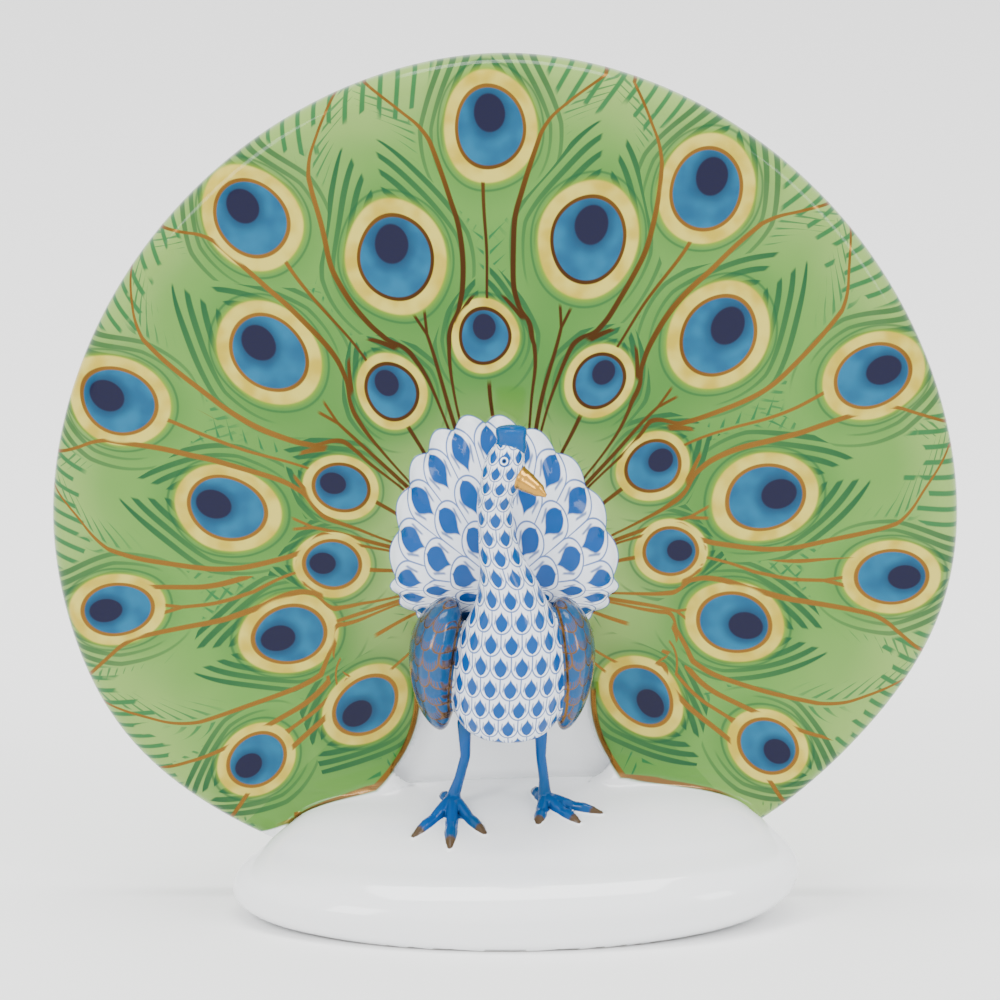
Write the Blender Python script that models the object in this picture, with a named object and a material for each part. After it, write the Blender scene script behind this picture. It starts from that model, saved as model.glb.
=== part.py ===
"""Peacock figurine: a glazed porcelain peacock in front of its raised tail fan.

One casting. An oval base with a vertical rim rises to a low mound, the round tail fan stands on
the back of the mound, and the bird stands on the mound with its ruff and body grown into the fan.
Metres, +Z up. The bird faces -Y, and the origin is on the table under the middle of the base.
"""
import math

import bmesh
import bpy
from mathutils import Vector

# Driving sizes, in metres
FIGURE_HEIGHT = 0.1344      # table to the top of the fan
FAN_WIDTH = 0.1418          # widest row of the fan
FAN_WIDEST = 0.0613         # height of that row above the table
FAN_DROP = 0.0602           # that row to the fan's lower end, inside the base
FAN_SWAY = 0.0019           # the fan's lower edge hangs this far to the bird's right
FAN_THICKNESS = 0.0080      # front face to back face
FAN_RIM_RADIUS = 0.0036     # rounding of the fan's edge, front and back
FAN_FRONT = 0.0088          # the fan's front face behind the middle of the base
BASE_WIDTH = 0.0884         # widest part of the base, side to side
BASE_DEPTH = 0.0456         # widest part of the base, front to back
BASE_SHIFT = 0.0028         # the rim's middle is this far to the bird's left of the foot's
MOUND_LEAN = 0.0026         # the mound's top is this much higher at the bird's left end
BASE_RIM_HEIGHT = 0.0098    # rounded upright rim of the base
MOUND_HEIGHT = 0.0180       # table to the top of the mound under the fan
NICHE_DEPTH = 0.0032        # white hollow behind the legs, cut back from the fan's front
NICHE_HALF_WIDTH = 0.0130   # half the hollow's width under the belly, where it is narrowest
NICHE_EDGE_RADIUS = 0.0200  # round lower edges of the tail on each side of the hollow
NICHE_EDGE_SWEEP = 1.3      # radians of that round edge above the mound
BIRD_HEIGHT = 0.0614        # mound top to the top of the crest
GLAZE_COLOUR = (0.80, 0.81, 0.80, 1.0)

# How finely the forms are divided
FAN_SIDES = 96
BASE_SIDES = 64
BODY_SIDES = 24
LIMB_SIDES = 8
EDGE_STEPS = 3
FAN_FOOT = 0.3              # the fan's lower end stands in the base, at this share of the rim height
UPPER_FAN_POWER = 1.90      # superellipse power of the fan's outline above its widest row
LOWER_FAN_POWER = 2.04      # and below it

# The base from the table up. Rim rows: share of the rim's height, then shares of the half width,
# the front half depth and the back half depth. Mound rows are the same, with the height as a
# share of the way from the rim to the mound's top. A front share below 0 lies behind the middle.
RIM_ROWS = (
    (0.00, 0.800, 0.950, 0.930),
    (0.08, 0.885, 0.980, 0.960),
    (0.20, 0.945, 1.000, 0.985),
    (0.36, 0.984, 1.000, 1.000),
    (0.55, 1.000, 0.985, 0.995),
    (0.75, 0.995, 0.930, 0.975),
    (0.90, 0.970, 0.850, 0.940),
    (1.00, 0.945, 0.780, 0.910),
)
MOUND_ROWS = (
    (0.18, 0.905, 0.600, 0.870),
    (0.39, 0.855, 0.440, 0.840),
    (0.75, 0.730, 0.110, 0.790),
    (1.00, 0.560, -0.190, 0.750),
)

# The bird, in hundredths of its height. Up is from the mound's top, across is to its left hand
# (the viewer's right), and forward is from the fan's front face.
# Body rows from the belly to the crown: up, across, forward, half width, half depth
BODY_ROWS = (
    (18.2, 0.8, 20.4, 2.4, 2.4),
    (19.0, 0.8, 20.4, 6.8, 7.2),
    (21.2, 0.7, 20.0, 10.7, 11.4),
    (25.2, 0.7, 19.5, 13.4, 14.3),
    (31.8, 1.1, 19.2, 14.5, 16.0),
    (39.9, 1.5, 18.9, 14.0, 16.3),
    (47.2, 1.6, 19.2, 12.1, 15.0),
    (53.3, 1.6, 19.9, 9.4, 12.7),
    (59.4, 0.8, 20.2, 7.3, 10.4),
    (66.0, -1.1, 20.0, 5.5, 8.8),
    (73.3, -2.3, 20.2, 4.6, 7.5),
    (79.8, -2.3, 21.5, 4.5, 6.8),
    (84.4, -1.4, 23.5, 5.0, 6.8),
    (88.9, -0.6, 24.8, 5.2, 6.8),
    (92.8, 0.2, 24.8, 4.6, 5.9),
    (95.4, 0.5, 24.8, 2.9, 3.9),
    (96.3, 0.5, 24.8, 1.3, 1.6),
)
# Wing rows for the bird's right wing, from the feather tip up
WING_ROWS = (
    (19.8, -16.4, 14.7, 1.3, 2.4),
    (22.2, -16.9, 14.7, 3.1, 5.9),
    (27.0, -17.5, 14.3, 5.0, 9.8),
    (34.4, -17.9, 14.0, 6.3, 12.4),
    (42.3, -17.6, 14.0, 6.5, 12.4),
    (48.9, -16.1, 14.0, 5.2, 9.1),
    (52.6, -14.7, 14.0, 2.3, 4.1),
)
LEFT_WING_NARROWING = 0.85  # the bird's left wing is turned further to the side
LEFT_WING_TUCK = 1.4        # and its tip is tucked in by this much more
RUFF_MIDDLE = (-0.2, 0.0, 55.5)
RUFF_HALF_WIDTH = 28.0
RUFF_PROUD = 10.6           # how far the ruff's dome stands out of the fan
RUFF_RISE = 41.0            # the ruff's widest row to its top
RUFF_FALL = 15.0            # and to its lower edge, behind the wings
RUFF_SWAY = -4.9            # its top leans to the bird's right
RUFF_SCALLOPS = 20
RUFF_SCALLOP_DEPTH = 0.04
CREST_FOOT = (1.5, 24.4, 93.5)
CREST_TOP = (1.5, 24.4, 100.0)
CREST_RADII = (3.5, 3.9)
BEAK_POINTS = ((2.6, 26.0, 88.0), (5.2, 28.7, 86.8), (8.0, 31.2, 85.4), (10.1, 32.6, 84.0))
BEAK_RADII = (3.0, 2.6, 1.8, 0.5)
# Each leg runs from hip to ankle and ends inside the mound. Its toe tips follow as (across, forward)
# places on the mound
LEG_POINTS = (
    ((-10.4, 16.5, 21.5), (-10.1, 14.2, 12.2), (-11.7, 12.7, 5.7), (-13.2, 11.4, 1.0), (-13.3, 11.0, -4.0)),
    ((9.1, 16.5, 21.5), (9.1, 14.2, 12.2), (9.9, 12.7, 5.7), (10.1, 11.4, 1.2), (10.1, 11.0, -4.0)),
)
TOE_TIPS = (
    ((-23.2, 23.4), (-14.0, 28.8), (-5.2, 24.2), (-16.0, 5.5)),
    ((8.4, 20.8), (18.7, 20.5), (24.4, 16.4), (7.5, 5.5)),
)
TOE_START = 0.04            # share of the toe's length at which it leaves the leg's middle
TOE_RISE = 0.5              # share of a toe's radius between its middle and the mound
LEG_RADII = (1.8, 1.3, 1.3, 1.7, 1.5)
TOE_RADII = (1.2, 1.35, 1.5, 1.25, 1.4, 1.1, 0.45)


def superellipse_point(angle, half_width, half_height, power):
    """Point of a superellipse at an angle from its +X axis."""
    cos, sin = math.cos(angle), math.sin(angle)
    x = math.copysign(abs(cos) ** (2.0 / power), cos) * half_width
    z = math.copysign(abs(sin) ** (2.0 / power), sin) * half_height
    return x, z


def base_row(share_row, lower, upper):
    """Height, half width, middle Y and half depth in metres of one row of the base."""
    share, width, front, back = share_row
    front_y = -front * BASE_DEPTH / 2
    back_y = back * BASE_DEPTH / 2
    height = lower + share * (upper - lower)
    return height, width * BASE_WIDTH / 2, (front_y + back_y) / 2, (back_y - front_y) / 2


def base_rows():
    """All rows of the base, from the table to the mound's top."""
    rim = [base_row(row, 0.0, BASE_RIM_HEIGHT) for row in RIM_ROWS]
    return rim + [base_row(row, BASE_RIM_HEIGHT, MOUND_HEIGHT) for row in MOUND_ROWS]


def base_place(x, height):
    """How far across and up the base's slight lean moves a point of it."""
    share = min(height / BASE_RIM_HEIGHT, 1.0)
    return BASE_SHIFT * share, MOUND_LEAN * x / BASE_WIDTH * height / MOUND_HEIGHT


def mound_level(x, y):
    """Height of the base's upper surface at a place in plan."""
    level = BASE_RIM_HEIGHT
    rows = base_rows()[len(RIM_ROWS) - 1:]
    for (low, *low_sizes), (high, *high_sizes) in zip(rows, rows[1:]):
        steps = 24
        for step in range(steps + 1):
            share = step / steps
            half_width, middle, half_depth = (
                a + share * (b - a) for a, b in zip(low_sizes, high_sizes))
            reach = ((x - BASE_SHIFT) / half_width) ** 2 + ((y - middle) / half_depth) ** 2
            if reach > 1.0:
                return level + base_place(x, level)[1]
            level = low + share * (high - low)
    return level + base_place(x, level)[1]


def bird_point(across, forward, up):
    """A place on the bird, given in hundredths of its height, as world coordinates."""
    unit = BIRD_HEIGHT / 100
    return Vector((across * unit, FAN_FRONT - forward * unit, MOUND_HEIGHT + up * unit))


def glaze():
    """White glazed porcelain."""
    material = bpy.data.materials.new("white_glaze")
    material.use_nodes = True
    shader = material.node_tree.nodes["Principled BSDF"]
    shader.inputs["Base Color"].default_value = GLAZE_COLOUR
    shader.inputs["Roughness"].default_value = 0.12
    shader.inputs["Metallic"].default_value = 0.0
    return material


def loft(name, rings):
    """Closed solid through rings of equally many points, capped at both ends."""
    mesh = bpy.data.meshes.new(name)
    bm = bmesh.new()
    loops = [[bm.verts.new(point) for point in ring] for ring in rings]
    for lower, upper in zip(loops, loops[1:]):
        for i in range(len(lower)):
            j = (i + 1) % len(lower)
            bm.faces.new((lower[i], lower[j], upper[j], upper[i]))
    bm.faces.new(list(reversed(loops[0])))
    bm.faces.new(loops[-1])
    bmesh.ops.recalc_face_normals(bm, faces=bm.faces)
    bm.to_mesh(mesh)
    bm.free()
    form = bpy.data.objects.new(name, mesh)
    bpy.context.scene.collection.objects.link(form)
    return form


def ellipse(middle, half_width, half_depth, sides):
    """Level ellipse about a middle point."""
    turns = (math.tau * i / sides for i in range(sides))
    return [middle + Vector((half_width * math.cos(a), half_depth * math.sin(a), 0)) for a in turns]


def stacked_form(name, rows, sides=BODY_SIDES):
    """Solid from level ellipses on the bird: up, across, forward, half width, half depth."""
    unit = BIRD_HEIGHT / 100
    rings = [
        ellipse(bird_point(across, forward, up), width * unit, depth * unit, sides)
        for up, across, forward, width, depth in rows]
    return loft(name, rings)


def limb(name, points, radii):
    """Round tube through points, with its own radius at each of them."""
    rings = []
    for i, (point, radius) in enumerate(zip(points, radii)):
        before, after = points[max(i - 1, 0)], points[min(i + 1, len(points) - 1)]
        along = (after - before).normalized()
        side = along.cross(Vector((0.0, 1.0, 0.0)))
        if side.length < 0.3:
            side = along.cross(Vector((1.0, 0.0, 0.0)))
        side.normalize()
        across = along.cross(side)
        turns = (math.tau * k / LIMB_SIDES for k in range(LIMB_SIDES))
        rings.append([point + radius * (math.cos(a) * side + math.sin(a) * across) for a in turns])
    return loft(name, rings)


def fan_outline(inset, y):
    """The fan's outline at one depth, drawn in by an inset."""
    half_width = FAN_WIDTH / 2 - inset
    above = FIGURE_HEIGHT - FAN_WIDEST - inset
    below = FAN_DROP - inset
    points = []
    for i in range(FAN_SIDES):
        angle = math.tau * i / FAN_SIDES
        upper = math.sin(angle) >= 0
        x, z = superellipse_point(
            angle, half_width, above if upper else below,
            UPPER_FAN_POWER if upper else LOWER_FAN_POWER)
        sway = FAN_SWAY * math.sin(math.pi * (max(-z, 0.0) / below) ** 1.6) ** 2
        points.append(Vector((x - sway, y, max(FAN_WIDEST + z, FAN_FOOT * BASE_RIM_HEIGHT))))
    return points


def tail_fan():
    """Round upright slab of the tail, with a rounded edge."""
    front, back = FAN_FRONT, FAN_FRONT + FAN_THICKNESS
    steps = [math.pi / 2 * i / EDGE_STEPS for i in range(EDGE_STEPS + 1)]
    insets = [FAN_RIM_RADIUS * (1 - math.sin(a)) for a in steps]
    setbacks = [FAN_RIM_RADIUS * (1 - math.cos(a)) for a in steps]
    rings = [fan_outline(inset, front + s) for inset, s in zip(insets, setbacks)]
    rings += [fan_outline(inset, back - s) for inset, s in zip(reversed(insets), reversed(setbacks))]
    return loft("peacock_figurine", rings)


def niche_cutter():
    """Hollow behind the legs, between the round lower edges of the tail."""
    radius = NICHE_EDGE_RADIUS
    middle_x = NICHE_HALF_WIDTH + radius
    middle_z = MOUND_HEIGHT * 0.72 + radius
    arc = [NICHE_EDGE_SWEEP * i / 8 for i in range(9)]
    right = [(middle_x - radius * math.cos(a), middle_z - radius * math.sin(a)) for a in arc]
    outline = right + [(-x, z) for x, z in reversed(right)]
    front, back = FAN_FRONT - FAN_THICKNESS, FAN_FRONT + NICHE_DEPTH
    return loft("niche_cutter", [[Vector((x, y, z)) for x, z in outline] for y in (front, back)])


def base():
    """Oval base with its rounded rim and the mound."""
    rings = []
    for height, half_width, middle, half_depth in base_rows():
        ring = ellipse(Vector((0.0, middle, height)), half_width, half_depth, BASE_SIDES)
        for point in ring:
            across, up = base_place(point.x, height)
            point += Vector((across, 0.0, up))
        rings.append(ring)
    return loft("base", rings)


def ruff():
    """Domed ruff of short feathers behind the neck, with a scalloped edge."""
    unit = BIRD_HEIGHT / 100
    sides = RUFF_SCALLOPS * 4
    levels = (-0.15, 0.0, 0.12, 0.3, 0.5, 0.7, 0.86, 0.96)
    rings = []
    for level in levels:
        reach = math.sqrt(1 - level * level)
        ring = []
        for i in range(sides):
            angle = math.tau * i / sides
            lobe = abs(math.sin(RUFF_SCALLOPS * angle / 2)) - 0.5
            size = reach * (1 + RUFF_SCALLOP_DEPTH * lobe * reach ** 6)
            rise = size * math.sin(angle)
            across = RUFF_HALF_WIDTH * size * math.cos(angle) + RUFF_SWAY * max(rise, 0.0) ** 2
            up = rise * (RUFF_RISE if rise > 0 else RUFF_FALL)
            ring.append(bird_point(*RUFF_MIDDLE) + unit * Vector((across, -RUFF_PROUD * level, up)))
        rings.append(ring)
    return loft("ruff", rings)


def wings():
    """Both folded wings, drop shaped, on the sides of the body."""
    tip, top = WING_ROWS[0][0], WING_ROWS[-1][0]
    left_rows = []
    for up, across, forward, width, depth in WING_ROWS:
        tuck = LEFT_WING_TUCK * (top - up) / (top - tip)
        left_rows.append((up, -across - tuck, forward, width * LEFT_WING_NARROWING, depth))
    return [stacked_form("right_wing", WING_ROWS, 16), stacked_form("left_wing", left_rows, 16)]


def toe(name, ankle, tip):
    """One knobbly toe from the ankle down to its claw on the mound."""
    unit = BIRD_HEIGHT / 100
    points, count = [], len(TOE_RADII) - 1
    for i, radius in enumerate(TOE_RADII):
        share = TOE_START + (1 - TOE_START) * i / count
        across = ankle[0] + share * (tip[0] - ankle[0])
        forward = ankle[1] + share * (tip[1] - ankle[1])
        point = bird_point(across, forward, 0)
        ground = mound_level(point.x, point.y) + TOE_RISE * radius * unit
        start = bird_point(*ankle).z
        fall = min(1.0, share * 2.5)
        point.z = start + fall * (ground - start)
        points.append(point)
    return limb(name, points, [radius * unit for radius in TOE_RADII])


def legs():
    """Two legs with three toes in front and one behind."""
    unit = BIRD_HEIGHT / 100
    forms = []
    for side, points, tips in zip(("right", "left"), LEG_POINTS, TOE_TIPS):
        path = [bird_point(*point) for point in points]
        forms.append(limb(side + "_leg", path, [radius * unit for radius in LEG_RADII]))
        for number, tip in enumerate(tips):
            forms.append(toe(f"{side}_toe_{number}", points[-2], tip))
    return forms


def head_trim():
    """Crest and beak."""
    unit = BIRD_HEIGHT / 100
    crest_rings = [
        ellipse(bird_point(*place), radius * unit, radius * unit, 16)
        for place, radius in zip((CREST_FOOT, CREST_TOP), CREST_RADII)]
    beak_path = [bird_point(*point) for point in BEAK_POINTS]
    beak = limb("beak", beak_path, [radius * unit for radius in BEAK_RADII])
    return [loft("crest", crest_rings), beak]


def combine(target, form, operation):
    """Join a form to the casting, or cut it away, and hide the form itself."""
    modifier = target.modifiers.new(form.name, "BOOLEAN")
    modifier.operation = operation
    modifier.object = form
    form.hide_render = True
    form.display_type = "WIRE"


def main():
    """Model the figurine as one solid."""
    for old in list(bpy.data.objects):
        bpy.data.objects.remove(old)
    figurine = tail_fan()
    figurine.data.materials.append(glaze())
    combine(figurine, niche_cutter(), "DIFFERENCE")
    body = stacked_form("body", BODY_ROWS)
    for form in [base(), ruff(), body, *wings(), *legs(), *head_trim()]:
        combine(figurine, form, "UNION")


main()
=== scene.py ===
"""Peacock figurine in painted, glazed porcelain, drawn as one smooth casting.

The casting is worked out as a distance field from the same sizes as the solid, and its surface is
drawn from that field, so every join has a small glaze fillet. The painting is done by shader maths
from each point's place on the figurine.
"""
from __future__ import annotations

import logging
import math
import time
from dataclasses import dataclass
from enum import Enum
from typing import Callable, Sequence, Union

import bpy
import numpy as np
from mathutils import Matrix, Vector


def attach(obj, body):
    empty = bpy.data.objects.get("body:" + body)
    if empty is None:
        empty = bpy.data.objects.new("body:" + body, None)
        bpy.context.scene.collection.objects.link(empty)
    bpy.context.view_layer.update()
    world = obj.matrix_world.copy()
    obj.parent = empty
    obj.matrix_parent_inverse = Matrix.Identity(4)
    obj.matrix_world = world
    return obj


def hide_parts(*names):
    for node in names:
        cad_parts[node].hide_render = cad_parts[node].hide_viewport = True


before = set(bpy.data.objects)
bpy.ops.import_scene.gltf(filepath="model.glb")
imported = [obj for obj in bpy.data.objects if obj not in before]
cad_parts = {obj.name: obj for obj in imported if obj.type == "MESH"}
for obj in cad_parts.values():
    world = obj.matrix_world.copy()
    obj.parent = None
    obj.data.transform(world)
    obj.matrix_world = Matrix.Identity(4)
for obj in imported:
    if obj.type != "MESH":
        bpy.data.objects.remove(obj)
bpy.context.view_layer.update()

log = logging.getLogger("peacock")
Array = np.ndarray

Rows = tuple[tuple[float, ...], ...]
BIRD_UNIT = 0.614           # a hundredth of the bird's height, in millimetres


def bird_place(across: float, forward: float, up: float) -> Array:
    """Turn a place on the bird into millimetres."""
    return np.array((
        across * BIRD_UNIT, Fan.front - forward * BIRD_UNIT, Base.mound_height + up * BIRD_UNIT))


def soft_min(a: Array, b: Array, radius: Union[float, Array]) -> Array:
    """Join two distance fields with a fillet."""
    h = np.maximum(radius - np.abs(a - b), 0.0) / radius
    return np.minimum(a, b) - h * h * radius / 4


class Curve:
    """Smooth curve through knots, straight beyond its ends."""

    def __init__(self, knots: Sequence[float], values: Sequence[float]) -> None:
        """Keep the knots and work out a slope at each.

        Args:
            knots: Rising places along the curve.
            values: Value at each knot.
        """
        self.knots = np.asarray(knots, float)
        self.values = np.asarray(values, float)
        steps = np.diff(self.values) / np.diff(self.knots)
        self.slopes = np.concatenate((steps[:1], (steps[:-1] + steps[1:]) / 2, steps[-1:]))

    def at(self, place: Array) -> tuple[Array, Array]:
        """Evaluate the curve.

        Args:
            place: Places along it.

        Returns:
            Value and slope at each place.
        """
        i = np.clip(np.searchsorted(self.knots, place) - 1, 0, len(self.knots) - 2)
        span = self.knots[i + 1] - self.knots[i]
        t = (place - self.knots[i]) / span
        s = np.clip(t, 0.0, 1.0)
        a, b = self.values[i], self.values[i + 1]
        u, v = self.slopes[i] * span, self.slopes[i + 1] * span
        value = (
            (1 + 2 * s) * (1 - s) ** 2 * a + s * (1 - s) ** 2 * u
            + s * s * (3 - 2 * s) * b + s * s * (s - 1) * v)
        slope = (6 * s * (s - 1) * (a - b) + (1 - s) * (1 - 3 * s) * u + s * (3 * s - 2) * v) / span
        return value + slope * (t - s) * span, slope


class StackedForm:
    """Form from level ellipses, with rounded ends."""

    def __init__(self, rows: Sequence[Sequence[float]]) -> None:
        """Make the curves through the rows.

        Args:
            rows: Up, across, forward, half width and half depth in hundredths.
        """
        table = np.asarray(rows, float)
        up = Base.mound_height + table[:, 0] * BIRD_UNIT
        self.middle_x = Curve(up, table[:, 1] * BIRD_UNIT)
        self.middle_y = Curve(up, Fan.front - table[:, 2] * BIRD_UNIT)
        self.width_squared = Curve(up, (table[:, 3] * BIRD_UNIT) ** 2)
        self.ratio = Curve(up, table[:, 3] / table[:, 4])

    def local(self, p: Array) -> tuple[Array, Array]:
        """Place points against the middle line.

        Args:
            p: Points in millimetres.

        Returns:
            Distance across, and distance back stretched so that each row is a circle.
        """
        dx = p[:, 0] - self.middle_x.at(p[:, 2])[0]
        ratio = np.clip(self.ratio.at(p[:, 2])[0], 0.3, 1.5)
        return dx, ratio * (p[:, 1] - self.middle_y.at(p[:, 2])[0])

    def distance(self, p: Array) -> Array:
        """Approximate distance to the surface, negative inside.

        Args:
            p: Points in millimetres.

        Returns:
            One distance per point.
        """
        z = p[:, 2]
        x, slope_x = self.middle_x.at(z)
        y, slope_y = self.middle_y.at(z)
        squared, slope = self.width_squared.at(z)
        ratio = np.clip(self.ratio.at(z)[0], 0.3, 1.5)
        dx, dy = p[:, 0] - x, p[:, 1] - y
        level = dx * dx + (ratio * dy) ** 2 - squared
        rise = 2 * dx * slope_x + 2 * ratio ** 2 * dy * slope_y + slope
        steep = np.sqrt(4 * dx * dx + 4 * ratio ** 4 * dy * dy + rise * rise + 0.5)
        return level / steep


class Limb:
    """Round tube through points, with its own radius at each."""

    def __init__(self, points: Sequence[Array], radii: Sequence[float]) -> None:
        """Keep the path."""
        self.points = [np.asarray(point, float) for point in points]
        self.radii = list(radii)

    def nearest(self, p: Array) -> tuple[Array, Array]:
        """Distance to the tube and where along it.

        Args:
            p: Points in millimetres.

        Returns:
            Distances, and the nearest place along the path from 0 to its number of points less 1.
        """
        best = np.full(len(p), 1e3)
        along = np.zeros(len(p))
        for i, (a, b) in enumerate(zip(self.points, self.points[1:])):
            axis = b - a
            t = np.clip(((p - a) @ axis) / (axis @ axis), 0.0, 1.0)
            radius = self.radii[i] + t * (self.radii[i + 1] - self.radii[i])
            d = np.linalg.norm(p - a - t[:, None] * axis, axis=1) - radius
            along = np.where(d < best, i + t, along)
            best = np.minimum(best, d)
        return best, along

    def distance(self, p: Array) -> Array:
        """Distance to the surface, negative inside."""
        return self.nearest(p)[0]


class Boxed:
    """Form that is only worked out within a box round it."""

    FAR = 9.0

    def __init__(self, form: Union[StackedForm, Limb], low: Array, high: Array) -> None:
        """Keep the form and its box."""
        self.form = form
        self.low, self.high = np.asarray(low) - 4.0, np.asarray(high) + 4.0

    @classmethod
    def limb(cls, points: Sequence[Array], radii: Sequence[float]) -> "Boxed":
        """Make a boxed tube."""
        path = np.asarray(points)
        return cls(Limb(points, radii), path.min(axis=0) - max(radii), path.max(axis=0) + max(radii))

    @classmethod
    def stack(cls, rows: Sequence[Sequence[float]]) -> "Boxed":
        """Make a boxed stack of ellipses.

        Args:
            rows: Its rows in hundredths.

        Returns:
            The stack in its box.
        """
        ends = [
            bird_place(across + sign * width, forward + sign * depth, up)
            for up, across, forward, width, depth in rows for sign in (-1, 1)]
        return cls(StackedForm(rows), np.min(ends, axis=0), np.max(ends, axis=0))

    def distance(self, p: Array) -> Array:
        """Distance to the surface where it is near.

        Args:
            p: Points in millimetres.

        Returns:
            One distance per point.
        """
        result = np.full(len(p), self.FAR)
        near = ((p > self.low) & (p < self.high)).all(axis=1)
        if near.any():
            result[near] = self.form.distance(p[near])
        return result


@dataclass(frozen=True)
class Fan:
    """Upright slab of the tail with a rounded edge, hollowed behind the legs, in millimetres."""

    height: float = 134.4
    width: float = 141.8
    widest: float = 61.3
    drop: float = 60.2
    sway: float = 1.9
    thickness: float = 8.0
    rim_radius: float = 3.6
    front: float = 8.8
    powers: tuple[float, float] = (1.90, 2.04)
    hollow_depth: float = 3.2
    hollow_half_width: float = 13.0
    lobe_radius: float = 20.0
    hollow_fillet: float = 2.6

    def edge(self, p: Array) -> Array:
        """Distance outward from the outline, seen from the front.

        Args:
            p: Points in millimetres.

        Returns:
            One distance per point, negative within the outline.
        """
        dz = p[:, 2] - self.widest
        drop = np.clip(-dz, 0.0, self.drop) / self.drop
        dx = p[:, 0] + self.sway * np.sin(math.pi * drop ** 1.6) ** 2
        upper = dz >= 0
        power = np.where(upper, *self.powers)
        tall = np.where(upper, self.height - self.widest, self.drop)
        a = np.abs(dx) / (self.width / 2) + 1e-9
        b = np.abs(dz) / tall + 1e-9
        total = a ** power + b ** power
        level = total ** (1 / power)
        share = total ** (1 / power - 1)
        steep = np.hypot(
            share * a ** (power - 1) / (self.width / 2), share * b ** (power - 1) / tall)
        return (level - 1) / np.maximum(steep, 1e-6)

    def distance(self, p: Array) -> Array:
        """Distance to the surface, negative inside.

        Args:
            p: Points in millimetres.

        Returns:
            One distance per point.
        """
        r = self.rim_radius
        out = self.edge(p) + r
        thick = np.abs(p[:, 1] - self.front - self.thickness / 2) - self.thickness / 2 + r
        slab = (
            np.hypot(np.maximum(out, 0), np.maximum(thick, 0))
            + np.minimum(np.maximum(out, thick), 0) - r)
        return -soft_min(-slab, self.hollow(p), self.hollow_fillet)

    def hollow(self, p: Array) -> Array:
        """Distance to the hollow behind the legs, negative inside it."""
        return np.maximum(self.opening(p), p[:, 1] - self.front - self.hollow_depth)

    def opening(self, p: Array) -> Array:
        """Distance to the hollow's opening as seen from the front.

        Args:
            p: Points in millimetres.

        Returns:
            One distance per point, negative in the opening.
        """
        top = p[:, 2] - Base.mound_height * 0.72 - self.lobe_radius - 1.5
        outer = np.abs(p[:, 0]) - self.hollow_half_width - self.lobe_radius * 0.95
        return np.maximum(np.maximum(self.lobe(p), top), outer)

    def lobe(self, p: Array) -> Array:
        """How far a point lies inside the round lower edges of the tail.

        Args:
            p: Points in millimetres.

        Returns:
            One distance per point, negative in the hollow between them.
        """
        middle_z = Base.mound_height * 0.72 + self.lobe_radius
        away = np.hypot(
            np.abs(p[:, 0]) - self.hollow_half_width - self.lobe_radius, p[:, 2] - middle_z)
        return self.lobe_radius - away


# Where the front's painting gives way to the back's, round the rim
BACK_BEGINS = Fan.front + Fan.thickness * 0.62


@dataclass
class Base:
    """Oval base with its rounded rim and the mound, in millimetres.

    Each row has its share of the rim's height, or from the rim to the mound's top, and then its
    shares of half width, front and back.
    """

    width: float = 88.4
    depth: float = 45.6
    shift: float = 2.8
    lean: float = 2.6
    rim_height: float = 9.8
    mound_height: float = 18.0
    rim_rows: Rows = (
        (0.00, 0.800, 0.950, 0.930), (0.08, 0.885, 0.980, 0.960), (0.20, 0.945, 1.000, 0.985),
        (0.36, 0.984, 1.000, 1.000), (0.55, 1.000, 0.985, 0.995), (0.75, 0.995, 0.930, 0.975),
        (0.90, 0.970, 0.850, 0.940), (1.00, 0.945, 0.780, 0.910),
    )
    mound_rows: Rows = (
        (0.18, 0.905, 0.600, 0.870), (0.39, 0.855, 0.440, 0.840), (0.75, 0.730, 0.110, 0.790),
        (1.00, 0.560, -0.190, 0.750),
    )

    def __post_init__(self) -> None:
        """Make the curves through the rows."""
        rows = [(share * self.rim_height, *rest) for share, *rest in self.rim_rows]
        rise = self.mound_height - self.rim_height
        rows += [(self.rim_height + share * rise, *rest) for share, *rest in self.mound_rows]
        rows += [(self.mound_height + 1.0, 0.40, -0.34, 0.70)]
        table = np.asarray(rows)
        front, back = -table[:, 2] * self.depth / 2, table[:, 3] * self.depth / 2
        self.half_width = Curve(table[:, 0], table[:, 1] * self.width / 2)
        self.half_depth = Curve(table[:, 0], (back - front) / 2)
        self.middle = Curve(table[:, 0], (back + front) / 2)

    def distance(self, p: Array) -> Array:
        """Approximate distance to the surface, negative inside.

        Args:
            p: Points in millimetres.

        Returns:
            One distance per point.
        """
        level_z = p[:, 2] / (1 + self.lean * p[:, 0] / (self.width * self.mound_height))
        z = np.clip(level_z, -2.0, self.mound_height + 1.0)
        dx = p[:, 0] - self.shift * np.clip(z / self.rim_height, 0, 1)
        half_width, slope_w = self.half_width.at(z)
        half_depth, slope_d = self.half_depth.at(z)
        middle, slope_m = self.middle.at(z)
        a, b = np.maximum(half_width, 1.0), np.maximum(half_depth, 1.0)
        dy = p[:, 1] - middle
        level = np.hypot(dx / a, dy / b)
        lx, ly = dx / (a * a), dy / (b * b)
        lz = -(dx * dx * slope_w / a ** 3 + dy * dy * slope_d / b ** 3 + dy * slope_m / (b * b))
        steep = np.sqrt(lx * lx + ly * ly + lz * lz) / np.maximum(level, 1e-6)
        side = (level - 1) / np.maximum(steep, 1e-4)
        above = np.abs(level_z - z)
        return np.where(above > 0, np.hypot(np.maximum(side, 0), above), side)

    def top(self, x: float, y: float) -> float:
        """Height of the upper surface at a place in plan.

        Args:
            x: Place across.
            y: Place back.

        Returns:
            The height in millimetres.
        """
        heights = np.linspace(self.rim_height * 0.6, self.mound_height + 1.0, 240)
        column = np.column_stack((np.full(240, x), np.full(240, y), heights))
        inside = heights[self.distance(column) < 0]
        return float(inside[-1]) if len(inside) else self.rim_height


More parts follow.
